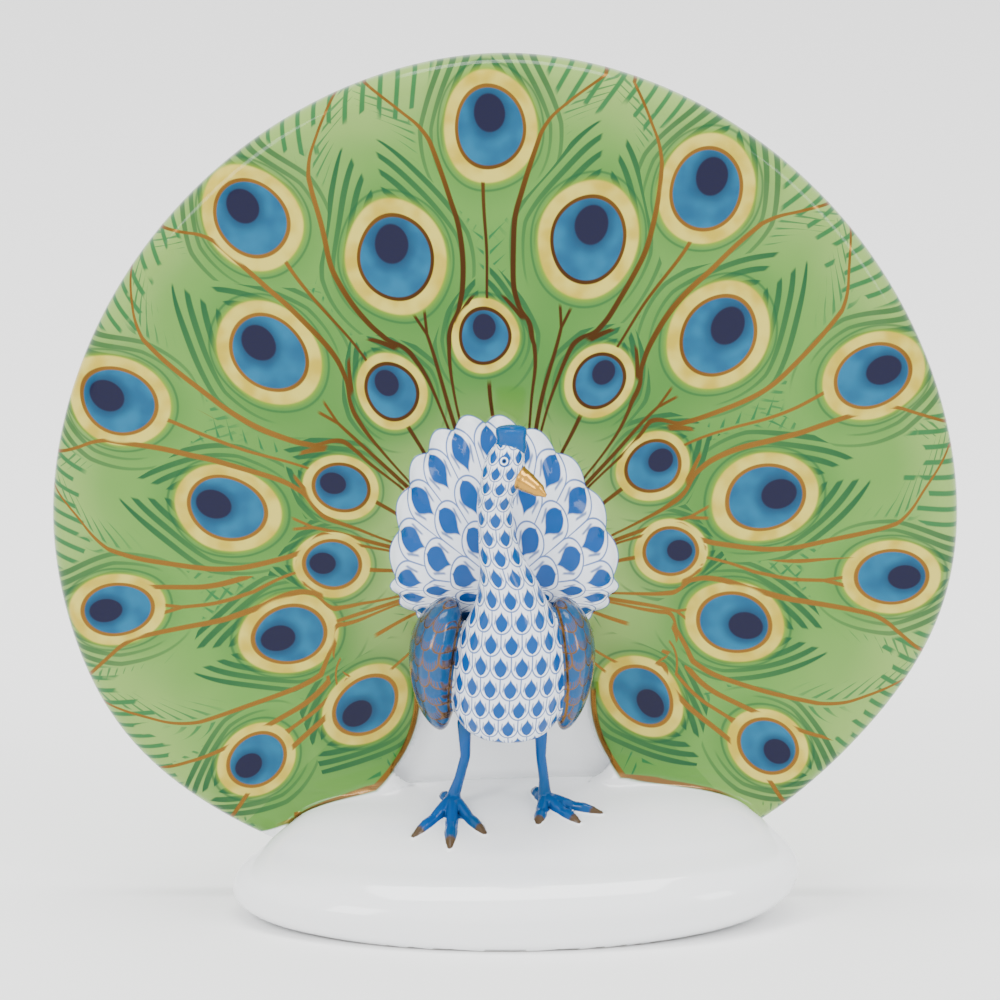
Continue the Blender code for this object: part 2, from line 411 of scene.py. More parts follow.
@dataclass(frozen=True)
class Ruff:
    """Domed ruff of short feathers behind the neck, with a scalloped edge, in hundredths."""

    middle: tuple[float, float, float] = (-0.2, 0.0, 55.5)
    half_width: float = 28.0
    proud: float = 10.6
    rise: float = 41.0
    fall: float = 15.0
    sway: float = -4.9
    scallops: int = 20
    scallop_depth: float = 0.065

    def local(self, p: Array) -> tuple[Array, Array, Array]:
        """Place points against the ruff.

        Args:
            p: Points in millimetres.

        Returns:
            Shares of its half width, height and depth.
        """
        middle = bird_place(*self.middle)
        dz = (p[:, 2] - middle[2]) / BIRD_UNIT
        rise = np.where(dz > 0, dz / self.rise, dz / self.fall)
        across = (p[:, 0] - middle[0]) / BIRD_UNIT - self.sway * np.clip(rise, 0, 1.2) ** 2
        return across / self.half_width, rise, (middle[1] - p[:, 1]) / BIRD_UNIT / self.proud

    def distance(self, p: Array) -> Array:
        """Approximate distance to the surface, negative inside.

        Args:
            p: Points in millimetres.

        Returns:
            One distance per point.
        """
        across, rise, out = self.local(p)
        lobe = np.abs(np.sin(self.scallops * np.arctan2(rise, across) / 2)) - 0.5
        reach = np.sqrt(np.clip(1 - out * out, 0, 1))
        swell = 1 + self.scallop_depth * lobe * reach ** 6
        level = np.sqrt((across / swell) ** 2 + (rise / swell) ** 2 + out * out)
        tall = np.where(rise > 0, self.rise, self.fall)
        steep = np.sqrt(
            (across / self.half_width) ** 2 + (rise / tall) ** 2 + (out / self.proud) ** 2)
        return (level - 1) * BIRD_UNIT * level / np.maximum(steep, 1e-4)


@dataclass
class Bird:
    """Body, wings, crest, beak, legs and toes, in hundredths of the bird's height.

    Each row has its place up, across and forward, and then its half width and half depth.
    """

    base: Base
    body_rows: Rows = (
        (18.2, .8, 20.4, 2.4, 2.4), (19.0, .8, 20.4, 6.8, 7.2), (21.2, .7, 20.0, 10.7, 11.4),
        (25.2, .7, 19.5, 13.4, 14.3), (31.8, 1.1, 19.2, 14.5, 16.0), (39.9, 1.5, 18.9, 14.0, 16.3),
        (47.2, 1.6, 19.2, 12.1, 15.0), (53.3, 1.6, 19.9, 9.4, 12.7), (59.4, .8, 20.2, 7.3, 10.4),
        (66.0, -1.1, 20.0, 5.5, 8.8), (73.3, -2.3, 20.2, 4.6, 7.5), (79.8, -2.3, 21.5, 4.5, 6.8),
        (84.4, -1.4, 23.5, 5.0, 6.8), (88.9, -.6, 24.8, 5.2, 6.8), (92.8, .2, 24.8, 4.6, 5.9),
        (95.4, .5, 24.8, 2.9, 3.9), (96.3, .5, 24.8, 1.3, 1.6),
    )
    wing_rows: Rows = (
        (19.8, -16.4, 14.7, 1.3, 2.4), (22.2, -16.9, 14.7, 3.1, 5.9), (27.0, -17.5, 14.3, 5.0, 9.8),
        (34.4, -17.9, 14.0, 6.3, 12.4), (42.3, -17.6, 14.0, 6.5, 12.4), (48.9, -16.1, 14.0, 5.2, 9.1),
        (52.6, -14.7, 14.0, 2.3, 4.1),
    )
    left_wing_narrowing: float = 0.85
    left_wing_tuck: float = 1.4
    crest_rows: Rows = (
        (92.8, 1.5, 24.4, 2.6, 2.6), (93.5, 1.5, 24.4, 3.5, 3.5), (97.0, 1.5, 24.4, 3.7, 3.7),
        (99.0, 1.5, 24.4, 3.9, 3.9), (99.7, 1.5, 24.4, 3.5, 3.5), (100.0, 1.5, 24.4, 2.4, 2.4),
    )
    beak_points: Rows = ((2.6, 26.0, 88.0), (5.2, 28.7, 86.8), (8.0, 31.2, 85.4), (10.1, 32.6, 84.0))
    beak_radii: tuple[float, ...] = (3.0, 2.6, 1.8, 0.5)
    leg_points: tuple[Rows, ...] = (
        ((-10.4, 16.5, 21.5), (-10.1, 14.2, 12.2), (-11.7, 12.7, 5.7), (-13.2, 11.4, 1.0),
         (-13.3, 11.0, -4.0)),
        ((9.1, 16.5, 21.5), (9.1, 14.2, 12.2), (9.9, 12.7, 5.7), (10.1, 11.4, 1.2),
         (10.1, 11.0, -4.0)),
    )
    leg_radii: tuple[float, ...] = (1.8, 1.3, 1.3, 1.7, 1.5)
    toe_tips: tuple[Rows, ...] = (
        ((-23.2, 23.4), (-14.0, 28.8), (-5.2, 24.2), (-16.0, 5.5)),
        ((8.4, 20.8), (18.7, 20.5), (24.4, 16.4), (7.5, 5.5)),
    )
    toe_radii: tuple[float, ...] = (1.2, 1.35, 1.5, 1.25, 1.4, 1.1, 0.45)
    toe_start: float = 0.04
    toe_rise: float = 0.5

    def __post_init__(self) -> None:
        """Make the forms from the sizes."""
        self.body = StackedForm(self.body_rows)
        tip, top = self.wing_rows[0][0], self.wing_rows[-1][0]
        self.wings = [Boxed.stack(self.wing_rows), Boxed.stack([
            (up, -across - self.left_wing_tuck * (top - up) / (top - tip), forward,
             width * self.left_wing_narrowing, depth)
            for up, across, forward, width, depth in self.wing_rows])]
        self.crest = Boxed.stack(self.crest_rows)
        self.beak = self.tube(self.beak_points, self.beak_radii)
        self.toes = [
            self.toe(path[-2], tip)
            for path, tips in zip(self.leg_points, self.toe_tips) for tip in tips]
        self.legs = [self.tube(path, self.leg_radii) for path in self.leg_points] + self.toes

    def tube(self, path: Rows, radii: Sequence[float]) -> Boxed:
        """Make a tube through places on the bird."""
        return Boxed.limb([bird_place(*q) for q in path], [radius * BIRD_UNIT for radius in radii])

    def toe(self, ankle: Sequence[float], tip: Sequence[float]) -> Boxed:
        """Make one knobbly toe lying on the mound.

        Args:
            ankle: Where it starts, in hundredths.
            tip: Where its claw ends, across and forward.

        Returns:
            The toe.
        """
        points = []
        start = bird_place(*ankle)[2]
        for i, radius in enumerate(self.toe_radii):
            share = self.toe_start + (1 - self.toe_start) * i / (len(self.toe_radii) - 1)
            point = bird_place(
                ankle[0] + share * (tip[0] - ankle[0]), ankle[1] + share * (tip[1] - ankle[1]), 0)
            ground = self.base.top(point[0], point[1]) + self.toe_rise * radius * BIRD_UNIT
            point[2] = start + min(1.0, share * 2.5) * (ground - start)
            points.append(point)
        return Boxed.limb(points, [radius * BIRD_UNIT for radius in self.toe_radii])


class Region(Enum):
    """Painted parts of the figurine."""

    FAN = "fan"
    BASE = "base"
    RUFF = "ruff"
    BODY = "body"
    WING = "wing"
    LEG = "leg"
    BEAK = "beak"
    CREST = "crest"


class Figurine:
    """Distance field of the whole casting."""

    BIRD_FILLETS = (
        (Region.BODY, 1.6), (Region.WING, 0.8), (Region.CREST, 0.5), (Region.BEAK, 0.5))
    RUFF_FILLET = 1.2
    LEG_FILLET = 0.7
    BASE_FILLET = 1.8
    COVE = 5.0
    COVE_HALF_WIDTH = 22.0
    FEATHER_HEIGHTS = (32.0, 44.0, 62.0, 78.0)
    FEATHER_WIDTHS = (3.3, 3.7, 3.1, 2.3)

    def __init__(self) -> None:
        """Set out the forms."""
        self.fan = Fan()
        self.base = Base()
        self.ruff = Ruff()
        self.bird = Bird(self.base)

    def parts(self, p: Array) -> dict[Region, Array]:
        """Distance to each painted part by itself.

        Args:
            p: Points in millimetres.

        Returns:
            One field for each part.
        """
        bird = self.bird
        return {
            Region.FAN: self.fan.distance(p),
            Region.BASE: self.base.distance(p),
            Region.RUFF: self.ruff.distance(p),
            Region.BODY: bird.body.distance(p),
            Region.WING: np.min([wing.distance(p) for wing in bird.wings], axis=0),
            Region.LEG: np.min([limb.distance(p) for limb in bird.legs], axis=0),
            Region.BEAK: bird.beak.distance(p),
            Region.CREST: bird.crest.distance(p),
        }

    def layers(self, p: Array) -> dict[str, Array]:
        """Work out what the painting needs to know at each point.

        Args:
            p: Points in millimetres.

        Returns:
            Values by the layer's name.
        """
        parts = self.parts(p)
        found = {}
        for region in Region:
            others = np.min([other for name, other in parts.items() if name is not region], axis=0)
            found["to_" + region.value] = parts[region] - others
        found["clear_of_base"] = parts[Region.BASE] - parts[Region.FAN]
        found["hollow"] = self.fan.opening(p)
        across, rise, out = self.ruff.local(p)
        found["ruff_angle"] = np.arctan2(across, rise) / math.tau
        found["ruff_reach"] = np.hypot(across, rise)
        dx, dy = self.bird.body.local(p)
        heights = np.linspace(10.0, 85.0, 400)
        radius = np.sqrt(np.maximum(self.bird.body.width_squared.at(heights)[0], 1.0)) * 1.1
        width = np.interp(heights, self.FEATHER_HEIGHTS, self.FEATHER_WIDTHS)
        steps = np.concatenate(([0.0], np.cumsum(np.diff(heights) / (width[1:] * 0.95))))
        turn = np.arctan2(dx, -dy)
        found["body_across"] = turn * np.interp(p[:, 2], heights, radius / width)
        found["body_along"] = steps[-1] - np.interp(p[:, 2], heights, steps)
        claw = np.zeros(len(p))
        nearest = np.full(len(p), 2.0)
        for toe in self.bird.toes:
            near = toe.distance(p) < nearest
            away, along = toe.form.nearest(p[near])
            nearest[near], claw[near] = away, along
        found["claw"] = claw
        return found

    def field(self, p: Array) -> Array:
        """Distance to the casting, with its fillets and flat underside.

        Args:
            p: Points in millimetres.

        Returns:
            One distance per point, negative inside.
        """
        part = self.parts(p)
        before = np.clip((Fan.front - p[:, 1]) / 2 + 1, 0, 1)
        cove = self.BASE_FILLET + self.COVE * before * np.exp(-(p[:, 0] / self.COVE_HALF_WIDTH) ** 4)
        whole = soft_min(part[Region.FAN], part[Region.BASE], cove)
        bird = part[Region.RUFF]
        for region, fillet in self.BIRD_FILLETS:
            bird = soft_min(bird, part[region], fillet)
        whole = soft_min(whole, bird, self.RUFF_FILLET)
        whole = soft_min(whole, part[Region.LEG], self.LEG_FILLET)
        return np.maximum(whole, -p[:, 2])

    def gradient(self, p: Array, value: Array, step: float = 0.02) -> Array:
        """Direction in which the field rises."""
        return np.column_stack([(self.field(p + s) - value) / step for s in np.eye(3) * step])


def graded(*spans: tuple[float, float, float]) -> Array:
    """Make one axis of the sampling grid.

    Args:
        spans: Start, end and step of each stretch.

    Returns:
        The places along the axis.
    """
    places = [
        np.linspace(start, end, max(2, round((end - start) / step) + 1))[:-1]
        for start, end, step in spans]
    return np.concatenate([*places, [spans[-1][1]]])


class SurfaceNet:
    """Closed quad surface of a field, sampled on a graded grid."""

    CORNERS = [(i, j, k) for i in (0, 1) for j in (0, 1) for k in (0, 1)]

    def __init__(self, figurine: Figurine, axes: Sequence[Array]) -> None:
        """Sample the field and draw the net.

        Args:
            figurine: The field's owner.
            axes: Grid places along x, y and z.
        """
        self.figurine = figurine
        self.axes = axes
        self.samples = self.sample()
        self.points, self.index = self.cell_points()
        self.quads = self.cell_quads()
        self.settle()

    def sample(self) -> Array:
        """Work out the field near the surface, and only its sign elsewhere.

        Returns:
            The field at each grid place.
        """
        stride = 6
        shape = [len(axis) for axis in self.axes]
        rough = [axis[np.minimum(np.arange(0, n, stride) + stride // 2, n - 1)]
                 for axis, n in zip(self.axes, shape)]
        centres = np.stack(np.meshgrid(*rough, indexing="ij"), axis=-1).reshape(-1, 3)
        value = self.figurine.field(centres).reshape([len(axis) for axis in rough])
        for axis, n in enumerate(shape):
            value = np.repeat(value, stride, axis=axis).take(range(n), axis=axis)
        close = np.argwhere(np.abs(value) < 7.5)
        for part in np.array_split(close, max(1, len(close) // 150000)):
            places = np.column_stack([self.axes[n][part[:, n]] for n in range(3)])
            value[tuple(part.T)] = self.figurine.field(places)
        return value

    def cell_points(self) -> tuple[Array, Array]:
        """Place one point in each cell that the surface crosses.

        Returns:
            The points, and each cell's point number or -1.
        """
        inside = self.samples < 0
        size = [n - 1 for n in inside.shape]
        count = np.zeros(size, int)
        for i, j, k in self.CORNERS:
            count += inside[i:i + size[0], j:j + size[1], k:k + size[2]]
        cells = np.argwhere((count > 0) & (count < 8))
        index = np.full(size, -1)
        index[tuple(cells.T)] = np.arange(len(cells))
        total, hits = np.zeros((len(cells), 3)), np.zeros(len(cells))
        for corner in self.CORNERS:
            for axis in range(3):
                if corner[axis]:
                    continue
                other = list(corner)
                other[axis] = 1
                a, b = cells + corner, cells + other
                va, vb = self.samples[tuple(a.T)], self.samples[tuple(b.T)]
                crossed = (va < 0) != (vb < 0)
                t = np.where(crossed, va / np.where(crossed, va - vb, 1.0), 0.0)
                pa = np.column_stack([self.axes[n][a[:, n]] for n in range(3)])
                pb = np.column_stack([self.axes[n][b[:, n]] for n in range(3)])
                total += np.where(crossed[:, None], pa + t[:, None] * (pb - pa), 0.0)
                hits += crossed
        return total / hits[:, None], index

    def cell_quads(self) -> Array:
        """Join the points around every crossed grid edge.

        Returns:
            Four point numbers for each face.
        """
        inside = self.samples < 0
        faces = []
        for axis in range(3):
            u, v = (axis + 1) % 3, (axis + 2) % 3
            low = [slice(1, -1)] * 3
            high = [slice(1, -1)] * 3
            low[axis], high[axis] = slice(0, -1), slice(1, None)
            a, b = inside[tuple(low)], inside[tuple(high)]
            places = np.argwhere(a != b)
            outward = a[tuple(places.T)]
            for n in range(3):
                if n != axis:
                    places[:, n] += 1
            ring = []
            for du, dv in ((-1, -1), (0, -1), (0, 0), (-1, 0)):
                cell = places.copy()
                cell[:, u] += du
                cell[:, v] += dv
                ring.append(self.index[tuple(cell.T)])
            quad = np.column_stack(ring)
            faces.append(np.where(outward[:, None], quad, quad[:, ::-1]))
        return np.concatenate(faces)

    def settle(self) -> None:
        """Even the points out and bring them onto the surface."""
        for relax, rounds in ((0.5, 1), (0.5, 2)):
            total, hits = np.zeros_like(self.points), np.zeros(len(self.points))
            for a in range(4):
                for b in ((a + 1) % 4, (a - 1) % 4):
                    np.add.at(total, self.quads[:, a], self.points[self.quads[:, b]])
                    np.add.at(hits, self.quads[:, a], 1)
            self.points += relax * (total / hits[:, None] - self.points)
            for _ in range(rounds):
                value = self.figurine.field(self.points)
                slope = self.figurine.gradient(self.points, value)
                squared = np.maximum((slope ** 2).sum(axis=1), 0.05)
                self.points -= np.clip(value / squared, -0.5, 0.5)[:, None] * slope
        self.points[:, 2] = np.maximum(self.points[:, 2], 0.0)


Number = Union[int, float, "Signal"]


def paint(code: str) -> tuple[float, float, float, float]:
    """Turn a colour as seen into the linear one that shaders use.

    Args:
        code: Six hexadecimal digits.

    Returns:
        Linear red, green, blue and alpha.
    """
    seen = [int(code[i:i + 2], 16) / 255 for i in (0, 2, 4)]
    linear = [c / 12.92 if c <= 0.04045 else ((c + 0.055) / 1.055) ** 2.4 for c in seen]
    return (linear[0], linear[1], linear[2], 1.0)


class Palette(Enum):
    """The painter's colours."""

    PALE_GREEN = "83a152"
    MID_GREEN = "588837"
    DEEP_GREEN = "2e6823"
    STROKE = "004823"
    FRINGE = "095d2e"
    HALO = "76910d"
    CREAM = "c5b64d"
    YELLOW = "b19b24"
    DISC = "004a6d"
    DISC_LIGHT = "085f82"
    DISC_DEEP = "003250"
    PUPIL = "020329"
    GOLD = "755220"
    BROWN = "2d1609"
    WHITE = "f4f5f5"
    FEATHER_WHITE = "e4eaf4"
    BLUE = "004689"
    FEATHER_LINE = "1b5096"
    WING = "094c84"
    WING_GREY = "29465d"
    LEG = "05426f"
    CLAW = "4c3b28"
    CREST = "004988"
    BEAK = "b88837"
    BLACK = "040405"
    BISQUE = "bdb8ad"


class Signal:
    """A shader value that can be reckoned with like a number."""

    def __init__(self, easel: "Easel", socket: bpy.types.NodeSocket) -> None:
        """Wrap an output socket."""
        self.easel = easel
        self.socket = socket

    def maths(self, operation: str, *others: Number) -> "Signal":
        """Apply a Math node with this value first."""
        return self.easel.maths(operation, self, *others)

    def __add__(self, other: Number) -> "Signal":
        """Add."""
        return self.maths("ADD", other)

    def __sub__(self, other: Number) -> "Signal":
        """Subtract."""
        return self.maths("SUBTRACT", other)

    def __rsub__(self, other: Number) -> "Signal":
        """Subtract."""
        return self.easel.maths("SUBTRACT", other, self)

    def __mul__(self, other: Number) -> "Signal":
        """Multiply."""
        return self.maths("MULTIPLY", other)

    def __rmul__(self, other: Number) -> "Signal":
        """Multiply."""
        return self.easel.maths("MULTIPLY", other, self)

    def __truediv__(self, other: Number) -> "Signal":
        """Divide."""
        return self.maths("DIVIDE", other)

    def __rtruediv__(self, other: Number) -> "Signal":
        """Divide."""
        return self.easel.maths("DIVIDE", other, self)

    def __pow__(self, other: Number) -> "Signal":
        """Raise."""
        return self.maths("POWER", other)

    def __neg__(self) -> "Signal":
        """Turn the sign."""
        return self.maths("MULTIPLY", -1.0)

    def __abs__(self) -> "Signal":
        """Drop the sign."""
        return self.maths("ABSOLUTE")

    def least(self, other: Number) -> "Signal":
        """Take the smaller."""
        return self.maths("MINIMUM", other)

    def most(self, other: Number) -> "Signal":
        """Take the larger."""
        return self.maths("MAXIMUM", other)

    def root(self) -> "Signal":
        """Take the square root."""
        return self.maths("SQRT")

    def whole(self) -> "Signal":
        """Round to the nearest whole number."""
        return self.maths("ROUND")

    def ranged(self, low: float, high: float, first: float = 0.0, last: float = 1.0) -> "Signal":
        """Carry a range smoothly over to another.

        Args:
            low: Start of the range.
            high: End of the range.
            first: Result at and below the start.
            last: Result at and above the end.

        Returns:
            The result.
        """
        return self.easel.node(
            "MapRange", {"interpolation_type": "SMOOTHSTEP"},
            {0: self, 1: low, 2: high, 3: first, 4: last})

    def share(self, low: Number, high: Number) -> "Signal":
        """Straight share of the way between two values, kept from 0 to 1."""
        return self.easel.node("MapRange", {}, {0: self, 1: low, 2: high})

    def below(self, edge: Number, soft: float) -> "Signal":
        """Mask of where the value is under an edge.

        Args:
            edge: The edge.
            soft: Half the width over which it fades.

        Returns:
            1 under the edge and 0 over it.
        """
        if isinstance(edge, Signal):
            return (self - edge).ranged(-soft, soft, 1.0, 0.0)
        return self.ranged(edge - soft, edge + soft, 1.0, 0.0)

    def above(self, edge: Number, soft: float) -> "Signal":
        """Mask of where the value is over an edge.

        Args:
            edge: The edge.
            soft: Half the width over which it fades.

        Returns:
            1 over the edge and 0 under it.
        """
        if isinstance(edge, Signal):
            return (self - edge).ranged(-soft, soft)
        return self.ranged(edge - soft, edge + soft)

    def stripe(self, pitch: Number) -> "Signal":
        """Distance to the nearest of many even lines."""
        share = self / pitch
        return abs(share - share.whole()) * pitch


class Easel:
    """Node tree in which the painting is made."""

    def __init__(self, material: bpy.types.Material) -> None:
        """Clear the material's tree.

        Args:
            material: Material to paint with.
        """
        material.use_nodes = True
        self.tree = material.node_tree
        self.shader = self.tree.nodes["Principled BSDF"]

    def node(self, kind: str, settings: dict[str, object], inputs: dict, output: int = 0) -> Signal:
        """Make any node.

        Args:
            kind: Its type, without the leading ShaderNode.
            settings: Properties set first.
            inputs: Values or signals by socket name or number.
            output: Number of the output wanted.

        Returns:
            The output.
        """
        node = self.tree.nodes.new("ShaderNode" + kind)
        for name, value in settings.items():
            setattr(node, name, value)
        for place, value in inputs.items():
            self.feed(node.inputs[place], value)
        return Signal(self, node.outputs[output])

    def feed(self, socket: bpy.types.NodeSocket, value: object) -> None:
        """Link a signal to an input, or set its value.

        Args:
            socket: The input.
            value: A signal, a palette colour or a plain value.
        """
        if isinstance(value, Signal):
            self.tree.links.new(value.socket, socket)
        else:
            socket.default_value = paint(value.value) if isinstance(value, Palette) else value

    def maths(self, operation: str, *values: Number) -> Signal:
        """Make a Math node."""
        return self.node("Math", {"operation": operation}, dict(enumerate(values)))

    def mix(self, share: Number, under: object, over: object) -> Signal:
        """Lay one colour over another."""
        return self.node("Mix", {"data_type": "RGBA"}, {0: share, 6: under, 7: over}, 2)

    def blend(self, share: Number, under: Number, over: Number) -> Signal:
        """Mix two values."""
        return self.node("Mix", {}, {0: share, 2: under, 3: over}, 0)

    def trace(self, place: Signal, points: Sequence[tuple[float, float]]) -> Signal:
        """Look a value up on a curve.

        Args:
            place: Place along the curve, from 0 to 1.
            points: Places and values, both from 0 to 1.

        Returns:
            The value.
        """
        found = self.node("FloatCurve", {}, {0: 1.0, 1: place})
        curve = found.socket.node.mapping.curves[0]
        for where, value in points[1:-1]:
            curve.points.new(where, value)
        curve.points[0].location = points[0]
        curve.points[len(points) - 1].location = points[-1]
        found.socket.node.mapping.update()
        return found

    def split(self, place: Signal) -> list[Signal]:
        """Take a vector apart into its x, y and z."""
        node = self.node("SeparateXYZ", {}, {0: place}).socket.node
        return [Signal(self, output) for output in node.outputs]

    def layer(self, name: str) -> Signal:
        """Read one of the casting's own layers."""
        return self.node("Attribute", {"attribute_name": name}, {}, 2)

    def mottle(self, place: Signal, scale: float, detail: float = 2.0, output: int = 0) -> Signal:
        """Make soft irregular tones."""
        return self.node(
            "TexNoise", {}, {"Vector": place, "Scale": scale, "Detail": detail}, output)


@dataclass(frozen=True)
class EyeRow:
    """One ring of painted tail eyes round the bird."""

    count: int
    first: float
    step: float
    radius: tuple[float, float, float]
    half_width: tuple[float, float]
    half_length: tuple[float, float]
    wander: float


@dataclass
class Eye:
    """The tail eye nearest a point, seen from that point."""

    across: Signal
    outward: Signal
    half_width: Signal
    half_length: Signal
    reach: Signal


@dataclass
class Tones:
    """Uneven tones of hand-laid washes, each about 0.5."""

    broad: Signal
    wash: Signal
    fine: Signal


@dataclass
class Coat:
    """Paint at a point: its colour and how much of it is gold."""

    colour: Signal
    gold: Number


INNER_EYES = EyeRow(7, -88.0, 28.46, (30.4, 2.0, 4.8), (3.75, 0.15), (4.3, 0.1), 2.1)
MIDDLE_EYES = EyeRow(10, -135.2, 29.65, (39.7, 15.0, 0.0), (4.75, 0.95), (6.0, 0.85), 0.7)
OUTER_EYES = EyeRow(9, -127.1, 31.21, (58.0, 14.7, -2.6), (4.55, 0.9), (5.6, 1.0), 4.0)
ROOT = (-0.8, 52.5)
DEGREE = math.pi / 180


class FanPaint:
    """Painting of the tail fan."""

    RIM_RADIUS = 70.6
    HALO = 1.38
    FIRST_ARCH = 0.60
    ARCH_PITCH = 0.225
    LAST_ARCH = 1.62
    LAST_LINE = 135.0
    LAST_STEM = 112.0

    def __init__(self, easel: Easel, tones: Tones, x: Signal, z: Signal) -> None:
        """Set out the places that the painting is measured by.

        Args:
            easel: Where it is painted.
            tones: Uneven tones of the washes.
            x: Distance across.
            z: Height.
        """
        self.easel = easel
        self.tones = tones
        self.x, self.z = x - ROOT[0], z - ROOT[1]
        self.rho = (self.x * self.x + self.z * self.z).root().most(0.5)
        self.theta = easel.maths("ARCTAN2", self.x, self.z) / DEGREE
        self.cosine = self.z / self.rho
        self.rim = self.rim_distance()
        rows = [self.row_radius(row, self.cosine) for row in (INNER_EYES, MIDDLE_EYES, OUTER_EYES)]
        stops = [0.0, *rows, self.rim.most(rows[2] + 4.0)]
        self.stage = self.rho.share(0.0, rows[0])
        for low, high in zip(stops[1:], stops[2:]):
            self.stage = self.stage + self.rho.share(low, high)

    def rim_distance(self) -> Signal:
        """Distance from the feathers' root to the fan's rim in this direction.

        Returns:
            The distance.
        """
        middle = Fan.widest - ROOT[1] + 1.4
        lift = middle * self.cosine
        return lift + (lift * lift + (self.RIM_RADIUS ** 2 - middle ** 2)).root()

    def row_radius(self, row: EyeRow, cosine: Signal) -> Signal:
        """Distance of a ring of eyes from the root."""
        plain, once, twice = row.radius
        return cosine * once + (cosine * cosine * 2 - 1) * twice + plain

    def eye(self, row: EyeRow) -> Eye:
        """Find the nearest eye of a ring.

        Args:
            row: The ring.

        Returns:
            The eye.
        """
        number = ((self.theta - row.first) / row.step).whole().most(0.0).least(row.count - 1.0)
        stray = (number * 2.7 + row.wander).maths("SINE")
        angle = (number * row.step + row.first + stray * 1.3) * DEGREE
        cosine, sine = angle.maths("COSINE"), angle.maths("SINE")
        radius = self.row_radius(row, cosine) + (number * 4.1 + row.wander).maths("SINE") * 0.9
        across = self.x * cosine - self.z * sine
        outward = self.x * sine + self.z * cosine - radius
        half_width = cosine * row.half_width[1] + row.half_width[0]
        half_length = cosine * row.half_length[1] + row.half_length[0]
        reach = ((across / half_width) ** 2.0 + (outward / half_length) ** 2.0).root()
        return Eye(across, outward, half_width, half_length, reach)

    def nearest(self, first: Eye, second: Eye) -> Eye:
        """Choose the nearer of two eyes.

        Args:
            first: One eye.
            second: The other.

        Returns:
            The nearer.
        """
        pick = second.reach.maths("LESS_THAN", first.reach)
        pairs = zip(vars(first).values(), vars(second).values())
        return Eye(*(self.easel.blend(pick, a, b) for a, b in pairs))

    def cells(self) -> None:
        """Work out where a point lies between the feathers' middle lines."""
        easel = self.easel
        row = MIDDLE_EYES
        number = ((self.theta - row.first) / row.step).whole().most(0.0).least(row.count - 1.0)
        middle = number * row.step + row.first
        side = (self.theta - middle).maths("SIGN")
        beyond = number + (side - 1) / 2
        outer = beyond * OUTER_EYES.step + OUTER_EYES.first
        inner = (beyond - 1) * INNER_EYES.step + INNER_EYES.first
        share = self.stage.ranged(1.0, 2.4)
        other = inner + (outer - inner) * share
        swing = self.theta - middle
        raw = swing / (other - middle)
        self.share = 1 - abs(1 - raw)
        self.cell = abs(other - middle) * DEGREE * self.rho
        line = easel.trace(self.stage / 4, (
            (0.0, 0.10), (0.10, 0.12), (0.20, 0.19), (0.26, 0.29), (0.30, 0.45), (0.34, 0.60),
            (0.40, 0.69), (0.50, 0.70), (0.60, 0.63), (0.72, 0.535), (0.80, 0.45), (0.88, 0.31),
            (1.0, 0.10)))
        hug = (1 - 6.4 / self.cell).most(0.07)
        near = self.stage.ranged(0.85, 1.1) * self.stage.ranged(1.1, 1.35, 1.0, 0.0)
        line = easel.blend(near * 0.8, line, hug)
        self.from_gold = (self.share - line) * self.cell
        hook = ((self.stage - 1.22) * 1.5 + 0.5)
        self.from_hook = (self.share - hook) * self.cell
        self.from_outer_quill = abs(1 - self.share) * self.cell
        self.from_middle_quill = abs(self.share) * self.cell

    def ground(self, eye: Eye) -> Signal:
        """Lay the washes of green.

        Args:
            eye: The nearest eye.

        Returns:
            The colour.
        """
        easel = self.easel
        tone = self.tones.broad
        deep = (self.stage + tone * 1.2 - 0.6).ranged(0.3, 2.6, 1.0, 0.0)
        green = easel.mix(deep * 0.75, Palette.MID_GREEN, Palette.DEEP_GREEN)
        pale = (self.stage + tone * 0.9 - 0.45).ranged(2.5, 4.0) * 0.85
        green = easel.mix(pale, green, Palette.PALE_GREEN)
        haze = self.rho.ranged(17.0, 33.0, 0.8, 0.0)
        green = easel.mix(haze, green, Palette.PALE_GREEN)
        shade = eye.reach.ranged(1.35, 2.3, 0.4, 0.0)
        return easel.mix(shade, green, Palette.DEEP_GREEN)

    def arch(self, eye: Eye) -> Signal:
        """Measure the pointed arches that hang about an eye.

        Args:
            eye: The nearest eye.

        Returns:
            Size of the arch through each point, 1 close about the eye.
        """
        across = abs(eye.across) / (eye.half_width * self.HALO)
        outward = eye.outward / (eye.half_length * self.HALO)
        beyond = (outward.most(0.0) * 0.68) ** 1.3 + across ** 1.3
        beside = (across * across + outward * outward * 0.8).root()
        return self.easel.blend(outward.maths("GREATER_THAN", 0.0), beside, beyond ** (1 / 1.3))

    def barbs(self, eye: Eye, arch: Signal) -> Signal:
        """Mark the long strokes that sweep round the eyes.

        Args:
            eye: The nearest eye.
            arch: Size of the arch about it.

        Returns:
            Mask of the strokes.
        """
        easel = self.easel
        half = eye.half_width * self.HALO
        across = abs(eye.across) / half
        outward = eye.outward / (eye.half_length * self.HALO)
        rank = ((arch - self.FIRST_ARCH) / self.ARCH_PITCH).whole().most(1.0).least(4.0)
        away = abs(arch - self.FIRST_ARCH - rank * self.ARCH_PITCH) * half * 1.12
        tail, tip = 0.75 - rank * 0.55, rank.least(3.0) * 0.36 + 0.84
        along = outward.share(tail, tip)
        width = along * (1 - along ** 6) * 0.56 + 0.15
        ends = outward.above(tail, 0.12) * across.above(rank * 0.07 + 0.03, 0.03)
        ends = ends * outward.below(tip + 0.03, 0.04)
        return away.below(width, 0.1) * ends * easel.blend(0.6, 1.0, along)

